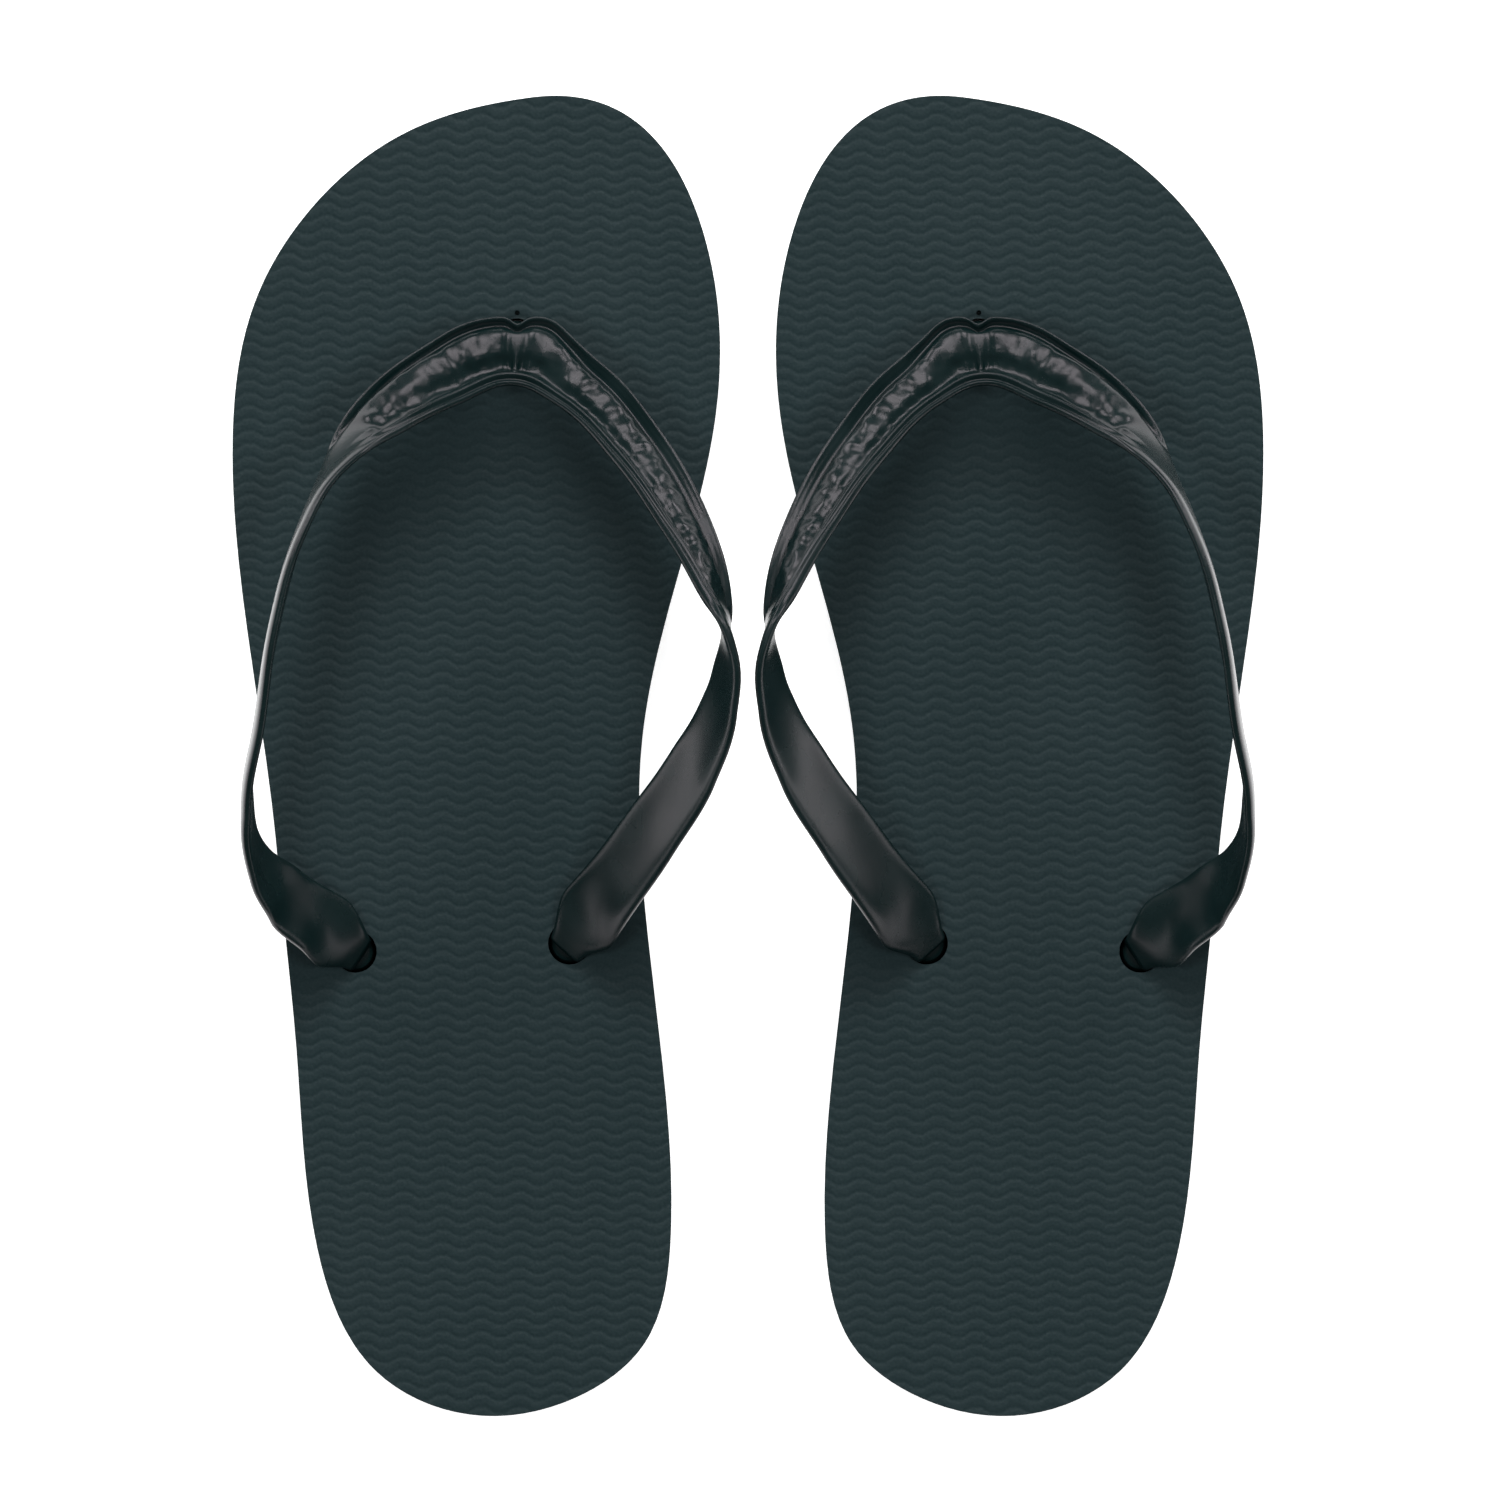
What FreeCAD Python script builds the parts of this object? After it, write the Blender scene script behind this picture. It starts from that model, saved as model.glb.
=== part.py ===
"""A pair of slim-strap rubber flip flops, lying side by side on a flat surface.

Units are millimetres. +Z is up, +Y points to the toes and X = 0 is the plane of symmetry
between the two shoes. The origin is on the ground, under the middle of the pair.
Each shoe is a two-ply foam sole and one soft strap moulding, which is held by three plugs.
The sole bends across the ball of the foot, so its plies and the strap are divided there.
"""
import FreeCAD
import Part
import math
import os

Vector = FreeCAD.Vector

# Sole: two foam sheets bonded together and cut to one outline
SOLE_LENGTH = 260.0
FOOTBED_THICKNESS = 5.0
OUTSOLE_THICKNESS = 10.0
SOLE_THICKNESS = FOOTBED_THICKNESS + OUTSOLE_THICKNESS

# Where the sole bends, measured along Y from the middle of the sole
FLEX_Y = 52.0

# Holes that the strap's plugs are pulled through, on the left shoe
TOE_HOLE = (-45.6, 83.2)
OUTER_HOLE = (-77.4, -38.4)
INNER_HOLE = (-35.2, -36.8)
TOE_HOLE_DIAMETER = 6.4
SIDE_HOLE_DIAMETER = 8.4
STEM_CLEARANCE = 0.2

# Plug discs, which sit in round pockets in the underside
TOE_PLUG_DIAMETER = 17.0
SIDE_PLUG_DIAMETER = 19.0
PLUG_THICKNESS = 3.2
PLUG_INSET = 0.8
PLUG_CHAMFER = 0.6
POCKET_CLEARANCE = 0.5

# Strap band: plain arms, a thicker front panel over the toes, and a narrow tip in each hole
ARM_WIDTH = 15.0
ARM_THICKNESS = 2.1
PANEL_WIDTH = 13.4
PANEL_THICKNESS = 2.8
TIP_WIDTH = 8.6
TIP_THICKNESS = 3.0
TIP_STATIONS = 2
OUTER_ARM_STATIONS = 9
INNER_ARM_STATIONS = 7

# Toe post, leaning back from its hole to a point inside the band
TOE_POST_DIAMETER = 5.6
POST_HEAD = (-45.6, 81.2, 28.6)

# Height that safely clears the whole object, for cutting blocks
ABOVE_ALL = 120.0


def outline_points():
    """Points of the left sole's outline, from the toe tip round by the big-toe side."""
    return [
        (-42.5, 130.0),
        (-20.4, 123.8),
        (-8.0, 100.5),
        (-6.4, 67.0),
        (-13.3, 37.5),
        (-20.8, 4.0),
        (-20.1, -32.0),
        (-16.2, -67.0),
        (-15.2, -94.0),
        (-20.6, -116.0),
        (-34.0, -126.4),
        (-55.0, -129.7),
        (-73.4, -121.1),
        (-84.9, -97.0),
        (-89.0, -58.0),
        (-91.6, -31.5),
        (-93.8, -10.0),
        (-98.6, 24.0),
        (-101.6, 63.0),
        (-96.6, 91.2),
        (-78.6, 115.6),
    ]


def outline_face():
    """The left sole's outline as one flat face at ground level."""
    curve = Part.BSplineCurve()
    points = [Vector(x, y, 0) for x, y in outline_points()]
    curve.interpolate(Points=points, PeriodicFlag=True)
    return Part.Face(Part.Wire(curve.toShape()))


def rod(centre, diameter, bottom, top):
    """An upright cylinder about a point in plan, between two heights."""
    base = Vector(centre[0], centre[1], bottom)
    return Part.makeCylinder(diameter / 2, top - bottom, base, Vector(0, 0, 1))


def half_space(front):
    """A block that holds everything in front of the flex plane, or everything behind it."""
    reach = SOLE_LENGTH
    y_low = FLEX_Y if front else FLEX_Y - 2 * reach
    corner = Vector(-2 * reach, y_low, -ABOVE_ALL)
    return Part.makeBox(4 * reach, 2 * reach, 2 * ABOVE_ALL, corner)


def one_solid(shape):
    """The largest solid of a cut shape, cleaned of leftover seams."""
    largest = max(shape.Solids, key=lambda solid: solid.Volume)
    return largest.removeSplitter()


def sole_ply(bottom, thickness, pockets):
    """One foam sheet with the three strap holes, and from below the plug pockets."""
    sheet = outline_face().extrude(Vector(0, 0, thickness))
    sheet.translate(Vector(0, 0, bottom))
    holes = [
        (TOE_HOLE, TOE_HOLE_DIAMETER, TOE_PLUG_DIAMETER),
        (OUTER_HOLE, SIDE_HOLE_DIAMETER, SIDE_PLUG_DIAMETER),
        (INNER_HOLE, SIDE_HOLE_DIAMETER, SIDE_PLUG_DIAMETER),
    ]
    for centre, hole, plug in holes:
        sheet = sheet.cut(rod(centre, hole, -1.0, SOLE_THICKNESS + 1.0))
        if pockets:
            pocket_top = PLUG_INSET + PLUG_THICKNESS
            sheet = sheet.cut(rod(centre, plug + 2 * POCKET_CLEARANCE, -1.0, pocket_top))
    return sheet


def plug(centre, plug_diameter, hole_diameter):
    """A strap end: a flat disc in its pocket, with a stem up through the sole."""
    disc_top = PLUG_INSET + PLUG_THICKNESS
    disc = rod(centre, plug_diameter, PLUG_INSET, disc_top)
    disc = disc.makeChamfer(PLUG_CHAMFER, [disc.Edges[0], disc.Edges[2]])
    stem = rod(centre, hole_diameter - 2 * STEM_CLEARANCE, disc_top, SOLE_THICKNESS)
    return disc.fuse(stem).removeSplitter()


def strap_stations():
    """The left strap's centre line, from the outer hole over the toes to the inner hole.

    Each station is x, y, z and the band's lean in degrees: 0 lies flat with its outer
    face up, 90 stands on edge, and above 90 the band falls outwards, inner face up.
    """
    return [
        (-74.4, -40.8, 12.5, 176.0),
        (-79.0, -37.0, 17.4, 168.0),
        (-84.7, -32.6, 23.4, 149.0),
        (-91.5, -27.3, 29.5, 137.0),
        (-96.4, -20.9, 35.4, 107.0),
        (-98.2, -9.0, 42.0, 91.0),
        (-95.7, 6.5, 48.0, 88.0),
        (-92.6, 26.0, 50.5, 90.0),
        (-87.7, 43.3, 48.2, 88.0),
        (-81.1, 56.3, 43.2, 77.0),
        (-72.3, 66.4, 37.6, 44.0),
        (-60.2, 74.6, 32.8, 20.0),
        (-45.5, 79.4, 30.0, 14.0),
        (-33.9, 73.8, 32.0, 15.0),
        (-22.4, 61.6, 36.8, 28.0),
        (-13.0, 46.6, 42.6, 44.0),
        (-7.0, 32.6, 47.6, 68.0),
        (-4.2, 20.8, 50.0, 100.0),
        (-5.5, 9.7, 48.2, 117.0),
        (-10.7, -2.2, 42.6, 134.0),
        (-19.1, -15.0, 34.4, 143.0),
        (-27.8, -27.0, 25.2, 149.0),
        (-33.4, -34.4, 18.0, 164.0),
        (-37.2, -39.8, 12.5, 174.0),
    ]


def band_size(place, count):
    """Width and thickness of the band at one station, by its place along the strap."""
    from_inner_tip = count - 1 - place
    if min(place, from_inner_tip) < TIP_STATIONS:
        return TIP_WIDTH, TIP_THICKNESS
    if place < OUTER_ARM_STATIONS or from_inner_tip < INNER_ARM_STATIONS:
        return ARM_WIDTH, ARM_THICKNESS
    return PANEL_WIDTH, PANEL_THICKNESS


def band_section(centre, tangent, lean, width, thickness):
    """The band's rectangular section, square to the centre line and leaning as told."""
    level = Vector(-tangent.y, tangent.x, 0)
    level = level * (-1.0 / level.Length)
    upright = tangent.cross(level)
    if upright.z < 0:
        upright = upright * -1
    angle = math.radians(lean)
    across = level * math.cos(angle) + upright * math.sin(angle)
    through = tangent.cross(across)
    corners = []
    for side, face in [(-1, -1), (1, -1), (1, 1), (-1, 1)]:
        corners.append(centre + across * (side * width / 2) + through * (face * thickness / 2))
    return Part.makePolygon(corners + [corners[0]])


def strap_band():
    """The left strap's whole band as one solid, ending level with the footbed."""
    stations = strap_stations()
    spine = Part.BSplineCurve()
    spine.interpolate([Vector(*station[:3]) for station in stations])
    sections = []
    for place, station in enumerate(stations):
        centre = Vector(*station[:3])
        tangent = spine.tangent(spine.parameter(centre))[0].normalize()
        width, thickness = band_size(place, len(stations))
        sections.append(band_section(centre, tangent, station[3], width, thickness))
    band = Part.makeLoft(sections, True, False)
    under = Part.makeBox(
        2 * SOLE_LENGTH, 2 * SOLE_LENGTH, ABOVE_ALL,
        Vector(-SOLE_LENGTH, -SOLE_LENGTH, SOLE_THICKNESS - ABOVE_ALL),
    )
    return one_solid(band.cut(under))


def toe_post(band):
    """The post between the toes, leaning back from its hole to the underside of the vee."""
    foot = Part.Circle(Vector(*TOE_HOLE, SOLE_THICKNESS), Vector(0, 0, 1), TOE_POST_DIAMETER / 2)
    head = Part.Circle(Vector(*POST_HEAD), Vector(0, 0, 1), TOE_POST_DIAMETER / 2)
    wires = [Part.Wire(circle.toShape()) for circle in (foot, head)]
    post = Part.makeLoft(wires, True, True)
    return one_solid(post.cut(band))


def left_shoe():
    """Every node of the left shoe, by name."""
    band = strap_band()
    footbed = sole_ply(OUTSOLE_THICKNESS, FOOTBED_THICKNESS, False)
    outsole = sole_ply(0.0, OUTSOLE_THICKNESS, True)
    front = half_space(True)
    behind = half_space(False)
    arms = sorted(band.common(behind).Solids, key=lambda solid: solid.CenterOfMass.x)
    return {
        "footbed_front": one_solid(footbed.common(front)),
        "footbed_rear": one_solid(footbed.common(behind)),
        "outsole_front": one_solid(outsole.common(front)),
        "outsole_rear": one_solid(outsole.common(behind)),
        "strap_vee": one_solid(band.common(front)),
        "strap_outer_arm": one_solid(arms[0]),
        "strap_inner_arm": one_solid(arms[-1]),
        "toe_post": toe_post(band),
        "toe_plug": plug(TOE_HOLE, TOE_PLUG_DIAMETER, TOE_HOLE_DIAMETER),
        "outer_plug": plug(OUTER_HOLE, SIDE_PLUG_DIAMETER, SIDE_HOLE_DIAMETER),
        "inner_plug": plug(INNER_HOLE, SIDE_PLUG_DIAMETER, SIDE_HOLE_DIAMETER),
    }


def export_pair():
    """Write the left shoe's nodes, and the right shoe's as their mirror image."""
    os.makedirs("parts", exist_ok=True)
    for name, shape in left_shoe().items():
        shape.exportStep(f"parts/left_{name}.step")
        twin = shape.mirror(Vector(0, 0, 0), Vector(1, 0, 0))
        twin.exportStep(f"parts/right_{name}.step")


export_pair()
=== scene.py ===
"""A pair of black rubber flip flops, laid flat side by side.

Units are metres unless a comment says mm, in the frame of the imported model: +Z is up, +Y
points to the toes and the two shoes mirror each other across X = 0. Every left piece is
modelled first, and the right one is its mirror image with a mesh of its own.
"""
import math
import bmesh
import bpy
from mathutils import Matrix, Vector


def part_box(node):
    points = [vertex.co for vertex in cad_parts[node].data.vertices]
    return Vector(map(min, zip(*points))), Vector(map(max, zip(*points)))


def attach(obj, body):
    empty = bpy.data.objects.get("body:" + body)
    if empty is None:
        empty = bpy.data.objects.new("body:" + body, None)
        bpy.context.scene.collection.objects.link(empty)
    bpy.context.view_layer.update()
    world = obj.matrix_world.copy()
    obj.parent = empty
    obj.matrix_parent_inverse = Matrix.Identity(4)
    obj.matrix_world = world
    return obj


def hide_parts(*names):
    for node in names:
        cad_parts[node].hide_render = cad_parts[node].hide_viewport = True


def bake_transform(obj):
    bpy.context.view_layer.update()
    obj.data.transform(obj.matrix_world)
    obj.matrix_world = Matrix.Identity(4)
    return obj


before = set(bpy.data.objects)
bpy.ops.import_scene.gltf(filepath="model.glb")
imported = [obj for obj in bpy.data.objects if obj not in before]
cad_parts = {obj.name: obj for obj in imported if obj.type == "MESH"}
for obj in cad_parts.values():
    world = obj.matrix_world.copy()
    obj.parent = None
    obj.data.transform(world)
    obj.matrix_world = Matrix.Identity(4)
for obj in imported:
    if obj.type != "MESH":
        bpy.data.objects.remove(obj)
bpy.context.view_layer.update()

# ---------------------------------------------------------------------------------------
# Ribbed footbed: the upper foam sheet of each sole. Its top is pressed into fine wavy ribs
# that run from side to side. It is bonded to the outsole and die-cut with it, so its sides
# are bare cut foam, and the strap's three stems pass through it.

# The ribs: their spacing, the length of one wave, how often both repeat, where the first one
# lies, and the heights and forward shifts that shape one wave
RIB_PITCH = 0.0025
RIB_WAVE = 0.0076
RIB_REPEATS = (13, 105)
RIB_CORNER = (-0.1030, -0.1320)
RIB_ROWS = (-0.00011, -0.00005, 0.00001, 0.00003, 0.00004, 0.00004, 0.00002, -0.00004)
WAVE_COLUMNS = (0.0, 0.0, 0.0, 0.0006, 0.0012, 0.0012, 0.0012, 0.0006)
# Heights, the easing of the rim at the seam, and how far sheets are cut from larger ones
FOOTBED_TOP = 0.015
PLY_SEAM = 0.010
SEAM_EASE = 0.00025
HOLE_KEEP_OUT = 0.006
CUT_SPARE = 0.002
# The stretch along Y in which the sole bends, and its slices
BEND_FROM = 0.048
BEND_TO = 0.076
BEND_SLICES = 9
BEND_MARGIN = 0.002
# A small round mark in front of the toe hole
MARK_RADIUS = 0.0005
MARK_DEPTH = 0.002
MARK_FROM_HOLE = (0.0001, 0.0043)
FOOTBED_LIGHT = (0.0166, 0.0292, 0.0320, 1)
FOOTBED_DARK = (0.0112, 0.0226, 0.0252, 1)
FOOTBED_GRAIN = 1100
# Limits for points that count as in one place, edges as nothing, faces as flat and as smooth
NEAR = 1e-5
NO_LENGTH = 1e-6
FLAT_WITHIN = math.radians(0.3)
FOAM_SMOOTH = math.radians(18)


def only(piece):
    """Makes one piece the selected and active one, in object mode."""
    if bpy.context.object and bpy.context.object.mode != "OBJECT":
        bpy.ops.object.mode_set(mode="OBJECT")
    bpy.ops.object.select_all(action="DESELECT")
    piece.select_set(True)
    bpy.context.view_layer.objects.active = piece


def pick(piece, kind, test):
    """Opens a piece for shaping with only the points, edges or faces that pass a test."""
    only(piece)
    bpy.ops.object.mode_set(mode="EDIT")
    bpy.ops.mesh.select_mode(type=kind)
    bpy.ops.mesh.select_all(action="DESELECT")
    shape = bmesh.from_edit_mesh(piece.data)
    for part in {"VERT": shape.verts, "EDGE": shape.edges, "FACE": shape.faces}[kind]:
        if test(part):
            part.select_set(True)
    bmesh.update_edit_mesh(piece.data)


def apply_modifier(piece, kind, **settings):
    """Adds one modifier with its settings and applies it."""
    only(piece)
    modifier = piece.modifiers.new(kind.title(), kind)
    for setting, value in settings.items():
        setattr(modifier, setting, value)
    bpy.ops.object.modifier_apply(modifier=modifier.name)


def wavy_sheet(name, pitch, wave, rows, columns, repeats, corner):
    """A wide sheet of wavy ribs: one wave of one rib, shaped and then repeated both ways."""
    bpy.ops.object.select_all(action="DESELECT")
    bpy.ops.mesh.primitive_grid_add(
        x_subdivisions=len(columns), y_subdivisions=len(rows), size=1,
        location=(corner[0] + wave / 2, corner[1] + pitch / 2, corner[2]),
    )
    tile = bpy.context.object
    tile.scale = (wave, pitch, 1)
    bpy.ops.object.transform_apply(location=True, rotation=True, scale=True)
    for row, height in enumerate(tuple(rows) + rows[:1]):
        y = corner[1] + pitch * row / len(rows)
        pick(tile, "VERT", lambda point: abs(point.co.y - y) < NEAR)
        bpy.ops.transform.translate(value=(0, 0, height))
    for column, shift in enumerate(tuple(columns) + columns[:1]):
        x = corner[0] + wave * column / len(columns)
        pick(tile, "VERT", lambda point: abs(point.co.x - x) < NEAR)
        bpy.ops.transform.translate(value=(0, shift, 0))
    bpy.ops.object.mode_set(mode="OBJECT")
    for count, step in zip(repeats, ((wave, 0, 0), (0, pitch, 0))):
        apply_modifier(
            tile, "ARRAY", count=count, use_relative_offset=False, use_constant_offset=True,
            constant_offset_displace=step, use_merge_vertices=True, merge_threshold=2 * NEAR,
        )
    tile.name = name
    return tile


def close_sheet(sheet, level):
    """Makes a sheet a closed slab, with a flat far side at a level."""
    pick(sheet, "EDGE", lambda edge: edge.is_boundary)
    bpy.ops.mesh.extrude_region_move(TRANSFORM_OT_translate={"value": (0, 0, 0)})
    bpy.ops.transform.resize(value=(1, 1, 0), center_override=(0, 0, level))
    bpy.ops.mesh.edge_face_add()
    bpy.ops.mesh.select_all(action="SELECT")
    bpy.ops.mesh.normals_make_consistent(inside=False)
    bpy.ops.object.mode_set(mode="OBJECT")


def on_seam_rim(edge):
    """Whether an edge is on the sole's outer rim at the seam, and not round a strap hole."""
    from_hole = min((v.co.xy - hole).length for v in edge.verts for hole in STRAP_HOLES)
    return all(abs(v.co.z - PLY_SEAM) < NEAR for v in edge.verts) and from_hole > HOLE_KEEP_OUT


def sole_blank(name, nodes):
    """One ply's closed block, joined across the bending line from the halves in the frame.
    Its outer rim at the bonded seam is eased, and it is sliced across the stretch in which the
    sole bends."""
    halves = []
    for node in nodes:
        half = bpy.data.objects.new(name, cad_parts[node].data.copy())
        bpy.context.scene.collection.objects.link(half)
        halves.append(half)
    only(halves[0])
    halves[1].select_set(True)
    bpy.ops.object.join()
    blank = halves[0]
    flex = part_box(nodes[0])[0].y
    bpy.ops.object.mode_set(mode="EDIT")
    bpy.ops.mesh.select_all(action="SELECT")
    bpy.ops.mesh.remove_doubles(threshold=NEAR)
    pick(blank, "FACE", lambda face: all(abs(v.co.y - flex) < 2 * NEAR for v in face.verts))
    bpy.ops.mesh.delete(type="FACE")
    bpy.ops.mesh.select_all(action="SELECT")
    bpy.ops.mesh.dissolve_limited(angle_limit=FLAT_WITHIN)
    pick(blank, "EDGE", on_seam_rim)
    bpy.ops.mesh.bevel(offset=SEAM_EASE, segments=2, affect="EDGES")
    sliced = BEND_TO - BEND_FROM + 2 * BEND_MARGIN
    for cut in range(BEND_SLICES + 1):
        y = BEND_FROM - BEND_MARGIN + sliced * cut / BEND_SLICES
        bpy.ops.mesh.select_all(action="SELECT")
        bpy.ops.mesh.bisect(plane_co=(0, y, 0), plane_no=(0, 1, 0))
    bpy.ops.object.mode_set(mode="OBJECT")
    return blank


def cut_to(sheet, blank):
    """Die-cuts a sheet to its blank, which is used up, and shades all but sharp edges."""
    apply_modifier(sheet, "BOOLEAN", operation="INTERSECT", solver="MANIFOLD", object=blank)
    bpy.data.objects.remove(blank)
    bpy.ops.object.mode_set(mode="EDIT")
    bpy.ops.mesh.select_all(action="SELECT")
    bpy.ops.mesh.dissolve_degenerate(threshold=NO_LENGTH)
    bpy.ops.object.mode_set(mode="OBJECT")
    bpy.ops.object.shade_smooth_by_angle(angle=FOAM_SMOOTH)


def mirror_copy(piece, name):
    """The right shoe's piece: a mirror image across X = 0, with its own mesh."""
    twin = bpy.data.objects.new(name, piece.data.copy())
    twin.data.name = name
    bpy.context.scene.collection.objects.link(twin)
    only(twin)
    twin.scale = (-1, 1, 1)
    bpy.ops.object.transform_apply(location=True, rotation=True, scale=True)
    bpy.ops.object.mode_set(mode="EDIT")
    bpy.ops.mesh.select_all(action="SELECT")
    bpy.ops.mesh.normals_make_consistent(inside=False)
    bpy.ops.object.mode_set(mode="OBJECT")
    return twin


def plain_material(name, values):
    """A new material, with values set on the shader's own sockets."""
    material = bpy.data.materials.new(name)
    material.use_nodes = True
    shader = material.node_tree.nodes["Principled BSDF"]
    for socket, value in values.items():
        shader.inputs[socket].default_value = value
    return material


def add_node(material, kind, values, vector=None):
    """One more shader node of a kind, with its values, reading a vector if one is given."""
    node = material.node_tree.nodes.new("ShaderNode" + kind)
    for socket, value in values.items():
        node.inputs[socket].default_value = value
    if vector:
        material.node_tree.links.new(vector, node.inputs["Vector"])
    return node


def colour_between(material, factor, dark, light, spread):
    """Colours a material from dark to light, over a spread of the factor about its middle."""
    tones = add_node(material, "ValToRGB", {})
    low, high = tones.color_ramp.elements
    low.position, low.color = 0.5 - spread / 2, dark
    high.position, high.color = 0.5 + spread / 2, light
    shader = material.node_tree.nodes["Principled BSDF"]
    material.node_tree.links.new(factor, tones.inputs["Fac"])
    material.node_tree.links.new(tones.outputs["Color"], shader.inputs["Base Color"])


def roughen(material, height, strength, depth):
    """Gives a material a fine relief."""
    bump = add_node(material, "Bump", {"Strength": strength, "Distance": depth})
    shader = material.node_tree.nodes["Principled BSDF"]
    material.node_tree.links.new(height, bump.inputs["Height"])
    material.node_tree.links.new(bump.outputs["Normal"], shader.inputs["Normal"])


def foam(name, light, dark, grain):
    """Closed-cell foam: a dull black-green skin with fine cells and faint cloudy patches."""
    material = plain_material(name, {"Roughness": 0.55, "Specular IOR Level": 0.24})
    place = add_node(material, "TexCoord", {}).outputs["Object"]
    patches = add_node(material, "TexNoise", {"Scale": 30, "Detail": 5}, place)
    cells = add_node(material, "TexVoronoi", {"Scale": grain}, place)
    fine = add_node(material, "TexNoise", {"Scale": grain * 1.7, "Detail": 3}, place)
    patches_share = add_node(material, "Math", {1: 0.3})
    patches_share.operation = "MULTIPLY"
    mottle = add_node(material, "Math", {1: 0.7})
    mottle.operation = "MULTIPLY_ADD"
    links = material.node_tree.links
    links.new(patches.outputs["Fac"], patches_share.inputs[0])
    links.new(fine.outputs["Fac"], mottle.inputs[0])
    links.new(patches_share.outputs[0], mottle.inputs[2])
    colour_between(material, mottle.outputs[0], dark, light, 0.28)
    roughen(material, cells.outputs["Distance"], 0.25, 0.0002)
    return material


def fit_sole_ply(piece, side, nodes, material):
    """Gives a ply its foam, bakes its place into its mesh and hides the model's halves it
    replaces.
    """
    piece.data.materials.clear()
    piece.data.materials.append(material)
    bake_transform(piece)
    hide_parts(*[side + "_" + node for node in nodes])


STRAP_HOLES = []
for plug in ("left_toe_plug", "left_outer_plug", "left_inner_plug"):
    low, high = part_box(plug)
    STRAP_HOLES.append(((low + high) / 2).xy)

footbed = wavy_sheet(
    "left_ribbed_footbed", RIB_PITCH, RIB_WAVE, RIB_ROWS, WAVE_COLUMNS, RIB_REPEATS,
    (*RIB_CORNER, FOOTBED_TOP),
)
close_sheet(footbed, PLY_SEAM - CUT_SPARE)
blank = sole_blank("footbed_blank", ("left_footbed_front", "left_footbed_rear"))
pick(blank, "FACE", lambda face: abs(face.calc_center_median().z - FOOTBED_TOP) < NEAR)
bpy.ops.transform.translate(value=(0, 0, CUT_SPARE))
cut_to(footbed, blank)
bpy.ops.object.select_all(action="DESELECT")
bpy.ops.mesh.primitive_cylinder_add(
    vertices=16, radius=MARK_RADIUS, depth=2 * MARK_DEPTH,
    location=(STRAP_HOLES[0].x + MARK_FROM_HOLE[0],
              STRAP_HOLES[0].y + MARK_FROM_HOLE[1], FOOTBED_TOP),
)
pin = bpy.context.object
bpy.ops.object.transform_apply(location=True, rotation=True, scale=True)
apply_modifier(footbed, "BOOLEAN", operation="DIFFERENCE", solver="MANIFOLD", object=pin)
bpy.data.objects.remove(pin)
footbed_foam = foam("ribbed footbed foam", FOOTBED_LIGHT, FOOTBED_DARK, FOOTBED_GRAIN)
right_footbed = mirror_copy(footbed, "right_ribbed_footbed")
for piece, side in ((footbed, "left"), (right_footbed, "right")):
    fit_sole_ply(piece, side, ("footbed_front", "footbed_rear"), footbed_foam)

# ---------------------------------------------------------------------------------------
# Outsole: the thicker lower foam sheet of each sole, with a coarse wavy tread pressed into
# its underside and a round pocket for each plug of the strap. It is bonded under the
# footbed, and the same die cuts both.
TREAD_PITCH = 0.0052
TREAD_WAVE = 0.0152
TREAD_REPEATS = (7, 52)
TREAD_CORNER = (-0.1050, -0.1350)
TREAD_ROWS = (0.0, 0.0, 0.0, 0.0, 0.0009, 0.0009)
TREAD_COLUMNS = (0.0, 0.0007, 0.0019, 0.0026, 0.0026, 0.0019, 0.0007, 0.0)
OUTSOLE_LIGHT = (0.0230, 0.0290, 0.0300, 1)
OUTSOLE_DARK = (0.0140, 0.0185, 0.0195, 1)
OUTSOLE_GRAIN = 900

outsole = wavy_sheet(
    "left_treaded_outsole", TREAD_PITCH, TREAD_WAVE, TREAD_ROWS, TREAD_COLUMNS, TREAD_REPEATS,
    (*TREAD_CORNER, 0.0),
)
close_sheet(outsole, PLY_SEAM + CUT_SPARE)
blank = sole_blank("outsole_blank", ("left_outsole_front", "left_outsole_rear"))
pick(blank, "FACE", lambda face: abs(face.calc_center_median().z) < NEAR)
bpy.ops.transform.translate(value=(0, 0, -CUT_SPARE))
cut_to(outsole, blank)
outsole_foam = foam("treaded outsole foam", OUTSOLE_LIGHT, OUTSOLE_DARK, OUTSOLE_GRAIN)
right_outsole = mirror_copy(outsole, "right_treaded_outsole")
for piece, side in ((outsole, "left"), (right_outsole, "right")):
    fit_sole_ply(piece, side, ("outsole_front", "outsole_rear"), outsole_foam)

# ---------------------------------------------------------------------------------------
# Strap: one soft glossy rubber band moulded in one piece, from the outer hole over the toes
# to the inner hole. It twists so that its inner face lies upwards on both arms. Over the
# toes its outer face has a beaded front edge, a hammered panel and a double bead behind.

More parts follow.
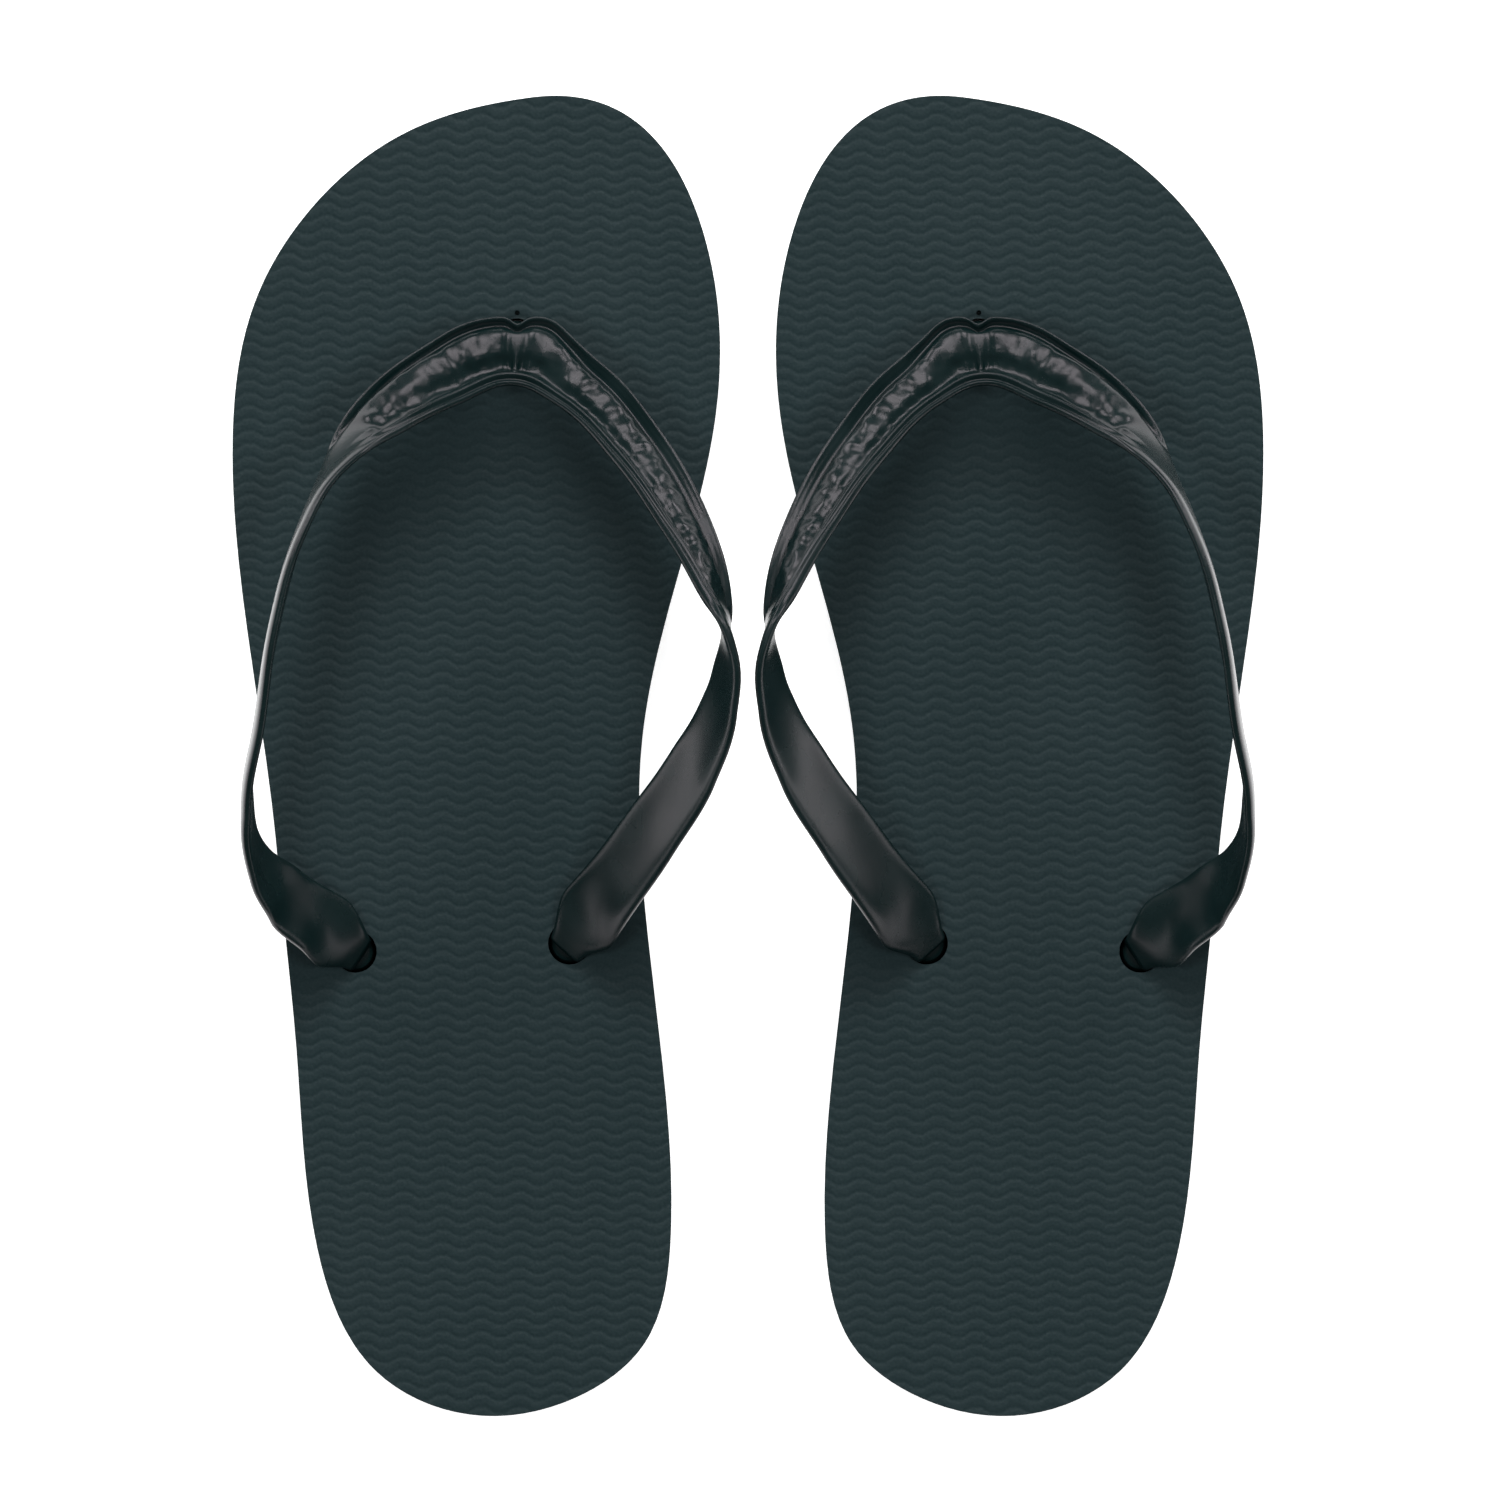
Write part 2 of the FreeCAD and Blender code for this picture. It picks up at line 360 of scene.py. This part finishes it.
# The centre line: x, y, z and the band's lean in degrees. At 0 the band lies flat with its
# outer face up, at 90 it stands on edge, and past 90 its inner face is up.
STRAP_ROUTE = (
    (-0.0769, -0.0388, 0.0144, 170),
    (-0.0790, -0.0370, 0.0174, 168),
    (-0.0847, -0.0326, 0.0234, 149),
    (-0.0915, -0.0273, 0.0295, 137),
    (-0.0964, -0.0209, 0.0354, 107),
    (-0.0982, -0.0090, 0.0420, 91),
    (-0.0957, 0.0065, 0.0480, 88),
    (-0.0926, 0.0260, 0.0505, 90),
    (-0.0877, 0.0433, 0.0482, 88),
    (-0.0811, 0.0563, 0.0432, 77),
    (-0.0723, 0.0664, 0.0376, 44),
    (-0.0602, 0.0746, 0.0328, 20),
    (-0.0455, 0.0794, 0.0300, 14),
    (-0.0339, 0.0738, 0.0320, 15),
    (-0.0224, 0.0616, 0.0368, 28),
    (-0.0130, 0.0466, 0.0426, 44),
    (-0.0070, 0.0326, 0.0476, 68),
    (-0.0042, 0.0208, 0.0500, 100),
    (-0.0055, 0.0097, 0.0482, 117),
    (-0.0107, -0.0022, 0.0426, 134),
    (-0.0191, -0.0150, 0.0344, 143),
    (-0.0278, -0.0270, 0.0252, 149),
    (-0.0334, -0.0344, 0.0180, 164),
    (-0.0357, -0.0376, 0.0146, 170),
)
# Half widths and half thicknesses of the arms, of the vee over the toes and of the tips
ARM_HALF = 0.0075
VEE_HALF = 0.0067
TIP_HALF = 0.0039
ARM_HALF_THICK = 0.00105
VEE_HALF_THICK = 0.0014
TIP_HALF_THICK = 0.0016
# How much the arms are cupped, and how the band thins to its edges: the share of thickness
# left at an edge, how square the section is, and how its rows crowd towards the edges
ARM_CUP = 0.0004
EDGE_SHARE = 0.12
EDGE_ROUNDNESS = 7
EDGE_GATHER = 0.96 * math.pi / 2
# Across the decorated vee, from the rear edge to the front edge: place and height in mm,
# on the outer side of the toe post and then on its big-toe side
OUTER_SECTION = (
    (-6.70, 0.10), (-6.50, 0.80), (-6.15, 1.10), (-5.85, 0.95), (-5.55, 0.45), (-5.25, 0.50),
    (-4.95, 1.10), (-4.55, 1.40), (-4.20, 1.15), (-3.75, 0.30), (-3.20, 0.10), (-2.50, 0.10),
    (-1.60, 0.30), (-0.90, 0.80), (-0.20, 1.25), (0.80, 1.48), (1.80, 1.56), (2.80, 1.58),
    (3.80, 1.50), (4.50, 1.20), (4.85, 0.55), (5.05, -0.25), (5.50, -0.30), (5.80, 0.50),
    (6.10, 1.25), (6.45, 1.60), (6.75, 1.40), (6.88, 0.40),
)
INNER_SECTION = (
    (-6.20, 0.10), (-6.05, 0.80), (-5.80, 1.10), (-5.55, 1.15), (-5.30, 0.80), (-5.00, 0.75),
    (-4.75, 1.20), (-4.45, 1.50), (-4.15, 1.25), (-3.80, 0.50), (-3.30, 0.35), (-2.70, 0.45),
    (-2.20, 0.90), (-1.60, 1.30), (-0.90, 1.45), (0.00, 1.52), (0.90, 1.50), (1.70, 1.40),
    (2.40, 1.15), (2.90, 0.50), (3.20, -0.10), (3.70, -0.15), (4.10, 0.45), (4.60, 0.75),
    (5.05, 1.10), (5.45, 1.55), (5.80, 1.45), (6.05, 0.40),
)
# Rows of the section that are hammered, and that the ridge over the toe post crosses
PANEL_ROWS = (11, 19)
RIDGE_ROWS = (9, 20)
PANEL_EDGE_HEIGHT = 0.0011
# Where things change along the band, measured from the toe post
POST_PLACE = 0.1643
FINE_FROM = POST_PLACE - 0.0500
FINE_TO = POST_PLACE + 0.0765
FINE_STEP = 0.00045
PLAIN_STEP = 0.0012
BEADS_START = (-0.043, -0.033)
BEADS_END = (0.068, 0.074)
PANEL_START = (-0.0350, -0.0330)
PANEL_END = (0.0638, 0.0652)
SECTION_CHANGE = (0.004, 0.016)
SMOOTH_OVER_POST = (0.0008, 0.003)
# A ridge crosses the panel over the toe post, between two grooves
RIDGE_HEIGHT = 0.0012
RIDGE_SPREAD = 0.0006
RIDGE_SHARE = 0.8
GROOVE_DEPTH = 0.0004
GROOVE_PLACE = 0.0016
GROOVE_SPREAD = 0.0008
# The front edge swells on both sides of the ridge and is notched at it: the bulge, its
# place from the toe post and its spread, which fade in towards the edge
FRONT_EDGE = ((0.0008, -0.0090, 0.0080), (0.0011, 0.0040, 0.0028), (-0.0015, 0.0, 0.0012))
FRONT_FADE = (0.002, 0.0062)
# Where things change from each tip
TIP_THICKENS = (0.003, 0.012)
TIP_NARROWS = (0.0, 0.010)
CUP_STARTS = (0.004, 0.016)
# The hammered relief and the rubber's tones
HAMMER_SIZE = 0.0024
HAMMER_DEPTH = 0.0010
RUBBER_LIGHT = (0.0042, 0.0130, 0.0134, 1)
RUBBER_DARK = (0.0016, 0.0088, 0.0090, 1)


def route_curve():
    """The band's centre line as a smooth curve, tilted by the band's lean at each point."""
    line = bpy.data.curves.new("strap_route", "CURVE")
    line.dimensions = "3D"
    line.twist_mode = "Z_UP"
    line.resolution_u = 24
    spline = line.splines.new("BEZIER")
    spline.bezier_points.add(len(STRAP_ROUTE) - 1)
    spline.tilt_interpolation = "CARDINAL"
    for point, (x, y, z, lean) in zip(spline.bezier_points, STRAP_ROUTE):
        point.co = (x, y, z)
        point.handle_left_type = point.handle_right_type = "AUTO"
        point.tilt = -math.radians(lean)
    route = bpy.data.objects.new("strap_route", line)
    bpy.context.scene.collection.objects.link(route)
    bpy.context.view_layer.update()
    return route


def ease(low, high, value):
    """0 before low, 1 after high, and a smooth step between them."""
    share = min(1.0, max(0.0, (value - low) / (high - low)))
    return share * share * (3 - 2 * share)


def bell(centre, spread, value):
    """A smooth bump of height 1 about a centre."""
    return math.exp(-((value - centre) / spread) ** 2)


def band_point(along, row, outer_face):
    """One point of the straight band, with its outer face up, by its place along, its row
    across and its face. Gives the point and its share of the panel's hammering."""
    from_tip = min(along, length - along)
    from_post = along - POST_PLACE
    beads = ease(*BEADS_START, from_post) * (1 - ease(*BEADS_END, from_post))
    spaced = -1 + 2 * row / (len(OUTER_SECTION) - 1)
    half = ARM_HALF + (VEE_HALF - ARM_HALF) * beads
    across = half * math.sin(spaced * EDGE_GATHER) / math.sin(EDGE_GATHER)
    rounding = math.sqrt(max(0.0, 1 - abs(across / half) ** EDGE_ROUNDNESS))
    thick = ARM_HALF_THICK + (VEE_HALF_THICK - ARM_HALF_THICK) * beads
    thick += (TIP_HALF_THICK - thick) * (1 - ease(*TIP_THICKENS, from_tip))
    thick *= EDGE_SHARE + (1 - EDGE_SHARE) * rounding
    cup = (1 - (across / half) ** 2) * (1 - beads) * ease(*CUP_STARTS, from_tip)

    big_toe_side = ease(*SECTION_CHANGE, from_post)
    vee_across, vee_height = (
        (outer + (inner - outer) * big_toe_side) / 1000
        for outer, inner in zip(OUTER_SECTION[row], INNER_SECTION[row])
    )
    hammering = 0.0
    height = -thick
    if outer_face:
        if PANEL_ROWS[0] <= row <= PANEL_ROWS[1]:
            panel = ease(*PANEL_START, from_post) * (1 - ease(*PANEL_END, from_post))
            vee_height = PANEL_EDGE_HEIGHT + (vee_height - PANEL_EDGE_HEIGHT) * panel
            hammering = panel * ease(*SMOOTH_OVER_POST, abs(from_post))
        height = thick + (vee_height - thick) * beads
        if RIDGE_ROWS[0] <= row <= RIDGE_ROWS[1]:
            height += (RIDGE_HEIGHT - height) * RIDGE_SHARE * bell(0.0, RIDGE_SPREAD, from_post)
            for place in (-GROOVE_PLACE, GROOVE_PLACE):
                height -= GROOVE_DEPTH * bell(place, GROOVE_SPREAD, from_post)

    across += (vee_across - across) * beads
    across += ease(*FRONT_FADE, across) * sum(
        bulge * bell(place, spread, from_post) for bulge, place, spread in FRONT_EDGE
    )
    across *= 1 - (1 - TIP_HALF / ARM_HALF) * (1 - ease(*TIP_NARROWS, from_tip))
    return (along, across, height + ARM_CUP * cup), hammering


route = route_curve()
length = route.data.splines[0].calc_length()
columns = []
along = 0.0
while along < length:
    columns.append(along)
    along += FINE_STEP if FINE_FROM < along < FINE_TO else PLAIN_STEP
columns.append(length)
bpy.ops.object.select_all(action="DESELECT")
bpy.ops.mesh.primitive_grid_add(
    x_subdivisions=len(columns) - 1, y_subdivisions=len(OUTER_SECTION) - 1, size=2,
)
strap = bpy.context.object
strap.name = strap.data.name = "left_strap_band"
bpy.ops.object.mode_set(mode="EDIT")
bpy.ops.mesh.select_all(action="SELECT")
bpy.ops.mesh.extrude_region_move(TRANSFORM_OT_translate={"value": (0, 0, -1)})
bpy.ops.mesh.select_all(action="SELECT")
bpy.ops.mesh.normals_make_consistent(inside=False)
bpy.ops.object.mode_set(mode="OBJECT")
hammered = strap.vertex_groups.new(name="hammered panel")
for point in strap.data.vertices:
    column = round((point.co.x + 1) / 2 * (len(columns) - 1))
    row = round((point.co.y + 1) / 2 * (len(OUTER_SECTION) - 1))
    point.co, hammering = band_point(columns[column], row, point.co.z > -0.5)
    hammered.add([point.index], hammering, "REPLACE")
hammer = bpy.data.textures.new("hammered rubber", "CLOUDS")
hammer.noise_scale = HAMMER_SIZE
hammer.noise_depth = 1
apply_modifier(
    strap, "DISPLACE", texture=hammer, texture_coords="LOCAL", direction="Z",
    vertex_group="hammered panel", strength=HAMMER_DEPTH, mid_level=0.5,
)
apply_modifier(strap, "CURVE", object=route, deform_axis="POS_X")
bpy.data.objects.remove(route)
bpy.ops.object.shade_smooth()


def glossy_rubber(name, light, dark):
    """Soft black rubber: glossy, with faint flow marks and a little uneven shine."""
    material = plain_material(
        name, {"Specular IOR Level": 0.5, "Specular Tint": (1.0, 0.89, 0.95, 1)},
    )
    place = add_node(material, "TexCoord", {}).outputs["Object"]
    clouds = add_node(material, "TexNoise", {"Scale": 120, "Detail": 4}, place)
    fine = add_node(material, "TexNoise", {"Scale": 1500, "Detail": 2}, place)
    shine = add_node(material, "MapRange", {"To Min": 0.22, "To Max": 0.32})
    shader = material.node_tree.nodes["Principled BSDF"]
    material.node_tree.links.new(clouds.outputs["Fac"], shine.inputs["Value"])
    material.node_tree.links.new(shine.outputs["Result"], shader.inputs["Roughness"])
    colour_between(material, clouds.outputs["Fac"], dark, light, 0.30)
    roughen(material, fine.outputs["Fac"], 0.06, 0.0001)
    return material


strap_rubber = glossy_rubber("glossy strap rubber", RUBBER_LIGHT, RUBBER_DARK)
right_strap = mirror_copy(strap, "right_strap_band")
for piece, side in ((strap, "left"), (right_strap, "right")):
    piece.data.materials.append(strap_rubber)
    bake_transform(piece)
    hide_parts(side + "_strap_vee", side + "_strap_outer_arm", side + "_strap_inner_arm")

# ---------------------------------------------------------------------------------------
# Toe post and plugs: the parts of the same rubber moulding that hold it to the sole. Each
# is a round stem that is pulled down through its hole, and ends in a disc with a raised
# rim and a moulding nub, which sits in its pocket in the underside.

# Rings of each moulding, from the bottom up: radius and height in mm, and for the toe stem
# each ring's shift along Y too, because the stem leans back to the vee
TOE_DISC = (
    (1.3, 0.70), (1.6, 0.85), (1.8, 1.15), (5.8, 1.15), (6.2, 0.85), (7.6, 0.80), (8.3, 1.15),
    (8.5, 1.70), (8.5, 3.30), (8.3, 3.80), (7.9, 4.00), (3.6, 4.00), (3.1, 4.30), (3.0, 5.00),
    (3.0, 9.00),
)
SIDE_DISC = (
    (1.5, 0.70), (1.9, 0.85), (2.1, 1.15), (6.6, 1.15), (7.0, 0.85), (8.6, 0.80), (9.3, 1.15),
    (9.5, 1.70), (9.5, 3.30), (9.3, 3.80), (8.9, 4.00), (4.6, 4.00), (4.1, 4.30), (4.0, 5.00),
    (3.9, 9.00), (3.7, 11.8), (3.4, 12.5), (2.6, 12.9),
)
TOE_STEM = (
    (2.75, 8.5, 0.0), (2.75, 13.5, 0.0), (2.80, 15.5, -0.1), (2.75, 18.0, -0.6),
    (2.75, 22.0, -1.5), (2.95, 25.0, -2.1), (3.5, 27.0, -2.6), (4.6, 28.4, -2.9),
)
RUBBER_SMOOTH = math.radians(40)


def turned(name, centre, rings, sides=56):
    """A round moulding: a closed disc drawn up through rings of radius and height (mm)."""
    bpy.ops.object.select_all(action="DESELECT")
    radius, height = rings[0]
    bpy.ops.mesh.primitive_circle_add(
        vertices=sides, radius=radius / 1000, fill_type="NGON",
        location=(centre[0], centre[1], height / 1000),
    )
    piece = bpy.context.object
    bpy.ops.object.transform_apply(location=True, rotation=True, scale=True)
    piece.name = piece.data.name = name
    bpy.ops.object.mode_set(mode="EDIT")
    bpy.ops.mesh.select_mode(type="EDGE")
    bpy.ops.mesh.select_all(action="SELECT")
    for wide, high in rings[1:]:
        rise = high / 1000 - height / 1000
        bpy.ops.mesh.extrude_region_move(TRANSFORM_OT_translate={"value": (0, 0, rise)})
        bpy.ops.transform.resize(
            value=(wide / radius, wide / radius, 1),
            center_override=(centre[0], centre[1], high / 1000),
        )
        radius, height = wide, high
    bpy.ops.mesh.select_all(action="SELECT")
    bpy.ops.mesh.normals_make_consistent(inside=False)
    bpy.ops.object.mode_set(mode="OBJECT")
    bpy.ops.object.shade_smooth_by_angle(angle=RUBBER_SMOOTH)
    return piece


toe_button = turned("left_toe_button", STRAP_HOLES[0], TOE_DISC)
outer_button = turned("left_outer_button", STRAP_HOLES[1], SIDE_DISC)
inner_button = turned("left_inner_button", STRAP_HOLES[2], SIDE_DISC)
toe_stem = turned("left_toe_stem", STRAP_HOLES[0], [ring[:2] for ring in TOE_STEM], 40)
for radius, height, shift in TOE_STEM:
    pick(toe_stem, "VERT", lambda point: abs(point.co.z - height / 1000) < NEAR)
    bpy.ops.transform.translate(value=(0, shift / 1000, 0))
bpy.ops.object.mode_set(mode="OBJECT")
for piece, body, node in (
    (toe_button, "front", "toe_plug"), (toe_stem, "front", "toe_post"),
    (outer_button, "rear", "outer_plug"), (inner_button, "rear", "inner_plug"),
):
    twin = mirror_copy(piece, piece.name.replace("left", "right"))
    for half, side in ((piece, "left"), (twin, "right")):
        half.data.materials.append(strap_rubber)
        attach(half, side + "_" + body)
        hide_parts(side + "_" + node)

# ---------------------------------------------------------------------------------------
# Studio: a plain white floor, soft light from the toe side and from both flanks, and a
# long lens straight above the middle of the pair.
FLOOR_SIZE = 6
FLOOR_GAP = 0.0002
VIEW_WIDTH = 0.2957
VIEW_CENTRE = (0.0004, 0.0013)
CAMERA_HEIGHT = 8.0

bpy.ops.object.select_all(action="DESELECT")
bpy.ops.mesh.primitive_plane_add(size=FLOOR_SIZE, location=(0, 0, -FLOOR_GAP))
floor = bpy.context.object
floor.name = "studio_floor"
floor.data.materials.append(plain_material("white paper", {
    "Base Color": (0.9, 0.9, 0.9, 1),
    "Roughness": 0.9,
    "Specular IOR Level": 0.1,
    "Emission Color": (1, 1, 1, 1),
    "Emission Strength": 0.8,
}))

scene = bpy.context.scene
scene.view_settings.view_transform = "Standard"
scene.world = bpy.data.worlds.new("studio")
scene.world.use_nodes = True
scene.world.node_tree.nodes["Background"].inputs["Color"].default_value = (1, 1, 1, 1)
scene.world.node_tree.nodes["Background"].inputs["Strength"].default_value = 0.09


def softbox(name, place, size, power, seen=True, mirrored=True):
    """A soft rectangular light that faces the middle of the pair. It may be left out of the
    camera's own view, and out of the reflections on the rubber."""
    light = bpy.data.lights.new(name, "AREA")
    light.shape = "RECTANGLE"
    light.size, light.size_y = size
    light.energy = power
    lamp = bpy.data.objects.new(name, light)
    scene.collection.objects.link(lamp)
    lamp.location = place
    lamp.rotation_euler = (-lamp.location).to_track_quat("-Z", "Y").to_euler()
    lamp.visible_camera = seen
    lamp.visible_glossy = mirrored


softbox("toe_side_softbox", (0.0, 1.5, 1.5), (1.2, 0.6), 10)
softbox("overhead_strip", (0.0, 0.25, 2.4), (0.8, 0.16), 1.5, seen=False)
softbox("raised_strip", (0.0, 1.15, 1.95), (1.0, 0.12), 4)
softbox("toe_side_fill", (0.0, 1.6, 1.25), (0.8, 0.4), 16, mirrored=False)
for side in (-1, 1):
    softbox("front_corner_softbox", (1.15 * side, 1.25, 0.75), (0.6, 0.5), 6)
    softbox("flank_softbox", (1.6 * side, 0.0, 0.24), (1.5, 0.2), 1.5)
    softbox(
        "ceiling_softbox", (0.75 * side, -0.05, 2.2), (0.4, 0.6), 15, seen=False, mirrored=False,
    )

camera = bpy.data.cameras.new("camera")
camera.sensor_width = 36
camera.lens = camera.sensor_width * (CAMERA_HEIGHT - FOOTBED_TOP) / VIEW_WIDTH
camera.clip_end = 50
viewer = bpy.data.objects.new("camera", camera)
viewer.location = (*VIEW_CENTRE, CAMERA_HEIGHT)
scene.collection.objects.link(viewer)
scene.camera = viewer
